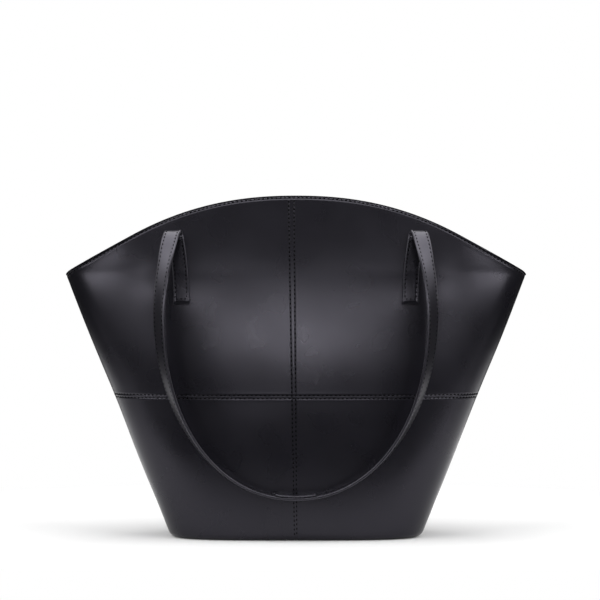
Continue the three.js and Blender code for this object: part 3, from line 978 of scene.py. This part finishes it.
def run_stations():
    """The hanging loop leans forwards just far enough to clear the shell."""
    x, z = half_run()
    twist = twist_at(z)
    behind = STRAP_THICKNESS / 2 + LAYER_GAP + SPLICE
    reach = np.sin(twist) * STRAP_WIDTH / 2 + np.cos(twist) * behind
    clear_y = front_point(x, z, 0)[:, 1] - LAYER_GAP - reach
    lean = np.max((RUN_START_Y - clear_y[1:]) / lean_at(z[1:]))
    half = np.stack([x, RUN_START_Y - lean * lean_at(z), z], axis=-1)
    point = np.concatenate([half * np.array([-1, 1, 1]), half[-2::-1]])
    tangent = unit(np.gradient(point, axis=0))
    twist = twist_at(point[:, 2])[:, None]
    across = np.cross(FORWARDS, tangent) * np.cos(twist) + FORWARDS * np.sin(twist)
    return stations(point, tangent, across)


RUN = run_stations()


def fold_stations(side):
    """The fold turns the strap over, from the sewn end to the hanging run."""
    start = {key: value[0] for key, value in end_stations(side, np.array([float(FOLD_HEIGHT)])).items()}
    last = 0 if side < 0 else -1
    end = {key: value[last] for key, value in RUN.items()}
    down = end["tangent"] * -side
    controls = [
        start["point"],
        start["point"] + FOLD_BOW * start["tangent"],
        end["point"] - FOLD_BOW * down,
        end["point"],
    ]
    share = shares(FOLD_STEPS)[:, None]
    point = sum(
        math.comb(3, i) * share**i * (1 - share) ** (3 - i) * control for i, control in enumerate(controls)
    )
    tangent = np.gradient(point, axis=0)
    tangent[0] = start["tangent"]
    tangent[-1] = down
    twist = twist_at(RUN_TOP)
    flat = math.cos(twist) * np.cross(FORWARDS, end["tangent"])
    across = lerp(start["width"], flat, share**LEVEL_POWER)
    across = across + math.sin(twist) * share**TURN_POWER * FORWARDS
    return stations(point, tangent, across)


def reversed_stations(path):
    return stations(path["point"][::-1], -path["tangent"][::-1], path["width"][::-1])


def joined_stations(*paths):
    return {key: np.concatenate([path[key] for path in paths]) for key in paths[0]}


def cut_stations(path, first, last):
    return {key: value[first:last] for key, value in path.items()}


def strap_profile(away):
    """Half the strap's thickness at a distance from its edge: rim, stitched groove and crown."""
    rounding = np.sqrt(1 - np.clip(1 - away / STRAP_RIM, 0, 1) ** 2)
    crown = STRAP_CROWN * ease(away - STRAP_ROW, STRAP_WIDTH / 2 - STRAP_ROW)
    return rounding * RIM_HEIGHT + crown - STRAP_GROOVE * hump(away - STRAP_ROW, STRAP_GROOVE_WIDTH)


# Places across the strap, from one edge to the other
EDGE_TO_MIDDLE = np.concatenate([NEAR_EDGE, [STRAP_WIDTH / 2]])
STRAP_ACROSS = np.concatenate([EDGE_TO_MIDDLE - STRAP_WIDTH / 2, STRAP_WIDTH / 2 - EDGE_TO_MIDDLE[-2::-1]])
STRAP_AWAY = STRAP_WIDTH / 2 - np.abs(STRAP_ACROSS)


def strap_section():
    """Places across the strap and heights above its middle, once round its section."""
    turn = shares(EDGE_STEPS) * math.pi / 2
    bend = turn[1:]
    face_away = EDGE_TO_MIDDLE[EDGE_TO_MIDDLE > STRAP_RIM]
    away = np.concatenate([STRAP_NOTCH * (1 - np.sin(turn)), STRAP_RIM * (1 - np.cos(bend)), face_away])
    lip = NOTCH_LIP * (1 - np.cos(turn))
    rim = lerp(NOTCH_LIP, strap_profile(STRAP_RIM), np.sin(bend))
    height = np.concatenate([lip, rim, strap_profile(face_away)])
    upper_across = np.concatenate([away - STRAP_WIDTH / 2, STRAP_WIDTH / 2 - away[-2::-1]])
    upper_height = np.concatenate([height, height[-2::-1]])
    across = np.concatenate([upper_across, upper_across[-2:0:-1]])
    return across, np.concatenate([upper_height, -upper_height[-2:0:-1]])


def strap_loft(path):
    """A closed strap along stations, with rounded edges. Faces on its edges take the second material."""
    across, offset = strap_section()
    points = (
        path["point"][:, None]
        + across[:, None] * path["width"][:, None]
        + offset[:, None] * path["normal"][:, None]
    )
    rows, columns, _ = points.shape
    faces = grid_faces(rows, columns, close_columns=True).tolist()
    painted = np.abs(offset + np.roll(offset, -1)) / 2 < NOTCH_LIP
    first = list(range(columns))[::-1]
    last = [(rows - 1) * columns + i for i in range(columns)]
    face_materials = np.concatenate([np.tile(painted, rows - 1), [True, True]])
    return points.reshape(-1, 3), faces + [first, last], face_materials


def strap_row_lines(path, side_of_strap):
    """Lines of stitches along both edges, on the side that its normal points to (1) or the other (-1)."""
    offset = strap_profile(STRAP_ROW) * side_of_strap
    for edge in (-1, 1):
        across = edge * (STRAP_WIDTH / 2 - STRAP_ROW)
        yield path["point"] + across * path["width"] + offset * path["normal"]


def blend_strap(piece):
    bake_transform(piece)


def add_strap(face):
    left = fold_stations(-1)
    right = reversed_stations(fold_stations(1))
    path = joined_stations(cut_stations(left, 0, -1), RUN, cut_stations(right, 1, None))
    materials = [STRAP_LEATHER, STRAP_PAINT]
    strap = add_sheet(f"{face}_strap_leather", strap_loft(path), face, materials, None, STRAP_CREASE)
    blend_strap(strap)
    hands = [hand_of(side, face) for side in (-1, 1)]
    folds = [f"{face}_{hand}_strap_fold" for hand in hands]
    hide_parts(f"{face}_strap_face", f"{face}_strap_backing", *folds)
    rows = []
    for side_of_strap in (1, -1):
        for line in strap_row_lines(path, side_of_strap):
            rows.append(stitch_row(STRAP_STITCH, line, path["normal"] * side_of_strap))
    stitches = add_stitches(f"{face}_strap_stitches", rows, face, None)
    blend_strap(stitches)


def foot_profile(away):
    """Half the thickness of a sewn end at a height above its foot: bevel, then stitched groove."""
    bevel = 1 - FOOT_TAPER * np.clip(1 - away / FOOT_BEVEL, 0, 1) ** 2
    return RIM_HEIGHT * bevel + STRAP_CROWN - FOOT_GROOVE * hump(away - FOOT_ROW, STRAP_GROOVE_WIDTH)


def cushion_sheet(path, along_away, side_profile, end_profile, middle=0):
    """A closed strap piece whose thickness also falls off towards its ends."""
    thickness = np.minimum(side_profile(STRAP_AWAY)[None], end_profile(along_away)[:, None])
    base = path["point"][:, None] + STRAP_ACROSS[:, None] * path["width"][:, None]
    outer = base + (middle + thickness)[..., None] * path["normal"][:, None]
    inner = base + (middle - thickness)[..., None] * path["normal"][:, None]
    return closed_sheet(outer[:, ::-1], inner[:, ::-1])


def end_paint(away, face_count):
    """Marks the painted faces of a sewn end: along its sides, at its foot and on its rim."""
    across_cell = np.minimum(STRAP_AWAY[:-1], STRAP_AWAY[1:])[::-1] < SIDE_PAINT
    along_cell = np.minimum(away[:-1], away[1:]) < FOOT_PAINT
    cell = np.logical_or(along_cell[:, None], across_cell[None]).reshape(-1)
    rim_count = face_count - 2 * len(cell)
    return np.concatenate([cell, cell, np.ones(rim_count, dtype=bool)])


def add_strap_end(side, face):
    upper = np.linspace(NEAR_EDGE[-1], END_LENGTH, END_STEPS)[1:]
    away = np.concatenate([NEAR_EDGE, upper])
    path = end_stations(side, END_HEIGHT + away)
    points, faces = cushion_sheet(path, away, strap_profile, foot_profile)
    if side > 0:
        faces = faces[:, ::-1]
    hand = hand_of(side, face)
    name = f"{face}_{hand}_strap_end_leather"
    sheet = (points, faces, end_paint(away, len(faces)))
    piece = add_sheet(name, sheet, face, [STRAP_BACKING, STRAP_PAINT], crease=STRAP_CREASE)
    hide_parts(f"{face}_{hand}_strap_end")


def add_end_stitches(side, face):
    """Rows along the sides of a sewn end and across its foot, on its outer face."""
    climb = END_HEIGHT + np.linspace(FOOT_ROW, END_LENGTH - END_ROW_CLEAR, END_LINE_POINTS)
    sides = end_stations(side, climb)
    rows = []
    for line in strap_row_lines(sides, side):
        rows.append(stitch_row(STRAP_STITCH, line, side * sides["normal"], END_ROW_START))
    foot = end_stations(side, np.array([float(END_HEIGHT + FOOT_ROW)]))
    edge = STRAP_WIDTH / 2 - STRAP_ROW + FOOT_ROW_OVERHANG
    across = np.linspace(-edge, edge, FOOT_LINE_POINTS)[:, None]
    line = foot["point"] + across * foot["width"] + side * foot_profile(FOOT_ROW) * foot["normal"]
    normals = np.repeat(side * foot["normal"], len(across), axis=0)
    rows.append(stitch_row(STRAP_STITCH, line, normals))
    stitches = add_stitches(f"{face}_{hand_of(side, face)}_strap_end_stitches", rows, face, "bag")


def splice_profile(away):
    """Half the patch's thickness: its edges are pared to a bevel."""
    return SPLICE / 2 * np.minimum(PARED_EDGE + away / PARED_WIDTH, 1)


def add_splice(face):
    """The patch over the joint in the middle of the strap."""
    half = SPLICE_LENGTH / 2
    between = np.linspace(-half, half, SPLICE_STEPS + 1)[2:-2]
    along = np.concatenate([-half + SPLICE_NEAR, between, (half - SPLICE_NEAR)[::-1]])
    reach = reach_along(RUN["point"])
    places = reach[-1] / 2 + along
    path = stations(*(read_along(RUN[key], reach, places) for key in ("point", "tangent", "width")))
    middle = -STRAP_THICKNESS / 2 - LAYER_GAP - SPLICE / 2
    sheet = cushion_sheet(path, half - np.abs(along), splice_profile, splice_profile, middle)
    name = f"{face}_strap_splice_leather"
    piece = add_sheet(name, sheet, face, [STRAP_LEATHER], f"{face}_strap", STRAP_CREASE)
    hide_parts(f"{face}_strap_splice")


# Put the bag together

for face in ("front", "back"):
    add_panels(face)
    add_seam_stitches(face)
    add_mouth_stitches(face)
    add_facing(face)
    add_lining(face)
    add_strap(face)
    add_splice(face)
    for side in (-1, 1):
        add_strap_end(side, face)
        add_end_stitches(side, face)
add_mouth_edge()
add_base()

HIDDEN_BOARDS = ["base_board"]
for face in ("front", "back"):
    HIDDEN_BOARDS.append(f"{face}_mouth_stiffener")
    for hand in ("left", "right"):
        HIDDEN_BOARDS.append(f"{face}_{hand}_strap_patch")
for node in HIDDEN_BOARDS:
    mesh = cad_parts[node].data
    mesh.materials.clear()
    mesh.materials.append(FIBRE_BOARD)


# Stage: a white floor and surround, soft lights and the camera

FLOOR_SIDE = 680  # from the middle of the bag to the floor's edges
FLOOR_FRONT = 300
FLOOR_BACK = 680
FLOOR_DROP = 0.3
FLOOR_GREY = 0.8
FLOOR_GLOW = 0.1  # share of plain white in the floor next to the bag
SHADOW_START = 400  # from here outwards the floor fades to plain white
SHADOW_END = 640
SURROUND = 0.03  # what the unlit room sends on to the bag
WHITE = (1, 1, 1, 1)
CAMERA_DISTANCE = 2300
CAMERA_HEIGHT = 233.5
CAMERA_SIDE = 4
FRAME_WIDTH = 600  # what the photograph's frame spans at the bag
SENSOR = 36
LIGHT_DISTANCE = 5000
LIT_POINT = Vector((0, 0, 200))
SOFTBOX_POWER = 4  # watts for each square metre of a soft light at a brightness of 1
BACK_LEVEL = 0.4  # brightness of the lights behind the bag against those in front
# Soft lights to one side: azimuth, elevation, width, height and roll in degrees, and brightness
SOFTBOXES = {
    "key": (6, 15.5, 14, 3.5, 24, 10.3),
    "rise": (9.8, 21, 4, 7, 0, 1),
    "strip": (52.5, 13.5, 38, 5, -16.5, 6.6),
    "flank": (84, 24, 24, 14, 0, 0.8),
    "side": (62, 49, 42, 36, -15, 2.2),
}
LOW_SOFTBOX = (64, -12, 40, 3, 0, 0.6)
TOP_SOFTBOX = (0, 90, 30, 66, 0, 2.4)


def add_floor():
    """White, with the bag's shadow near the bag and plain white further out."""
    material = bpy.data.materials.new("floor_white")
    tree = NodeTree(material)
    tree.nodes.clear()
    seen = tree.add("LightPath").outputs["Is Camera Ray"]
    glow = tree.add("Emission", seen, "Strength", Color=WHITE)
    matte = tree.add("BsdfDiffuse", Color=(FLOOR_GREY, FLOOR_GREY, FLOOR_GREY, 1))
    place = tree.add("TexCoord").outputs["Object"]
    away = tree.add("VectorMath", place, 0)
    away.operation = "LENGTH"
    fade = tree.add("MapRange", away.outputs["Value"], "Value", To_Min=FLOOR_GLOW)
    fade.interpolation_type = "SMOOTHSTEP"
    set_inputs(fade, From_Min=SHADOW_START * METRE, From_Max=SHADOW_END * METRE)
    furthest = tree.add("MapRange", seen, "Value", To_Min=FLOOR_GLOW)
    tree.link(furthest.outputs["Result"], fade.inputs["To Max"])
    tree.end_in_mix(fade.outputs["Result"], matte, glow, "OutputMaterial")
    corners = [
        (-FLOOR_SIDE, -FLOOR_FRONT, 0),
        (FLOOR_SIDE, -FLOOR_FRONT, 0),
        (FLOOR_SIDE, FLOOR_BACK, 0),
        (-FLOOR_SIDE, FLOOR_BACK, 0),
    ]
    floor = add_piece("floor", corners, [[0, 1, 2, 3]], [material])
    floor.location.z = -FLOOR_DROP * METRE


def add_world():
    """White where the camera looks past the bag, and dim all round for everything else."""
    world = bpy.data.worlds.new("studio")
    bpy.context.scene.world = world
    tree = NodeTree(world)
    tree.nodes.clear()
    seen = tree.add("LightPath").outputs["Is Camera Ray"]
    white = tree.add("Background", Color=WHITE)
    dim = tree.add("Background", Color=WHITE, Strength=SURROUND)
    tree.end_in_mix(seen, dim, white, "OutputWorld")


def add_softbox(name, softbox, side=1, facing=0, level=1):
    """A soft light that the bag sees in a direction. Azimuth 0 is where the camera stands."""
    azimuth, elevation, width, height, roll, brightness = softbox
    turn = math.radians(facing + side * azimuth)
    rise = math.radians(elevation)
    away = Vector((math.sin(turn) * math.cos(rise), -math.cos(turn) * math.cos(rise), math.sin(rise)))
    lamp = bpy.data.lights.new(name, "AREA")
    lamp.shape = "RECTANGLE"
    lamp.size = 2 * LIGHT_DISTANCE * METRE * math.tan(math.radians(width / 2))
    lamp.size_y = 2 * LIGHT_DISTANCE * METRE * math.tan(math.radians(height / 2))
    lamp.energy = SOFTBOX_POWER * brightness * level * lamp.size * lamp.size_y
    box = bpy.data.objects.new(name, lamp)
    bpy.context.scene.collection.objects.link(box)
    box.location = (LIT_POINT + away * LIGHT_DISTANCE) * METRE
    box.rotation_mode = "QUATERNION"
    rolled = Quaternion((0, 0, 1), math.radians(side * roll))
    box.rotation_quaternion = (-away).to_track_quat("-Z", "Y") @ rolled
    box.visible_camera = False


def add_camera():
    lens = bpy.data.cameras.new("camera")
    lens.sensor_width = SENSOR
    lens.lens = SENSOR * CAMERA_DISTANCE / FRAME_WIDTH
    camera = bpy.data.objects.new("camera", lens)
    bpy.context.scene.collection.objects.link(camera)
    camera.location = Vector((CAMERA_SIDE, -CAMERA_DISTANCE, CAMERA_HEIGHT)) * METRE
    camera.rotation_euler[0] = math.pi / 2
    bpy.context.scene.camera = camera


add_floor()
add_world()
for side, hand in ((-1, "left"), (1, "right")):
    for name, softbox in SOFTBOXES.items():
        add_softbox(f"front_{hand}_{name}", softbox, side)
        add_softbox(f"back_{hand}_{name}", softbox, side, facing=180, level=BACK_LEVEL)
    add_softbox(f"{hand}_low", LOW_SOFTBOX, side)
add_softbox("top", TOP_SOFTBOX)
add_camera()

scene = bpy.context.scene
scene.view_settings.view_transform = "Standard"
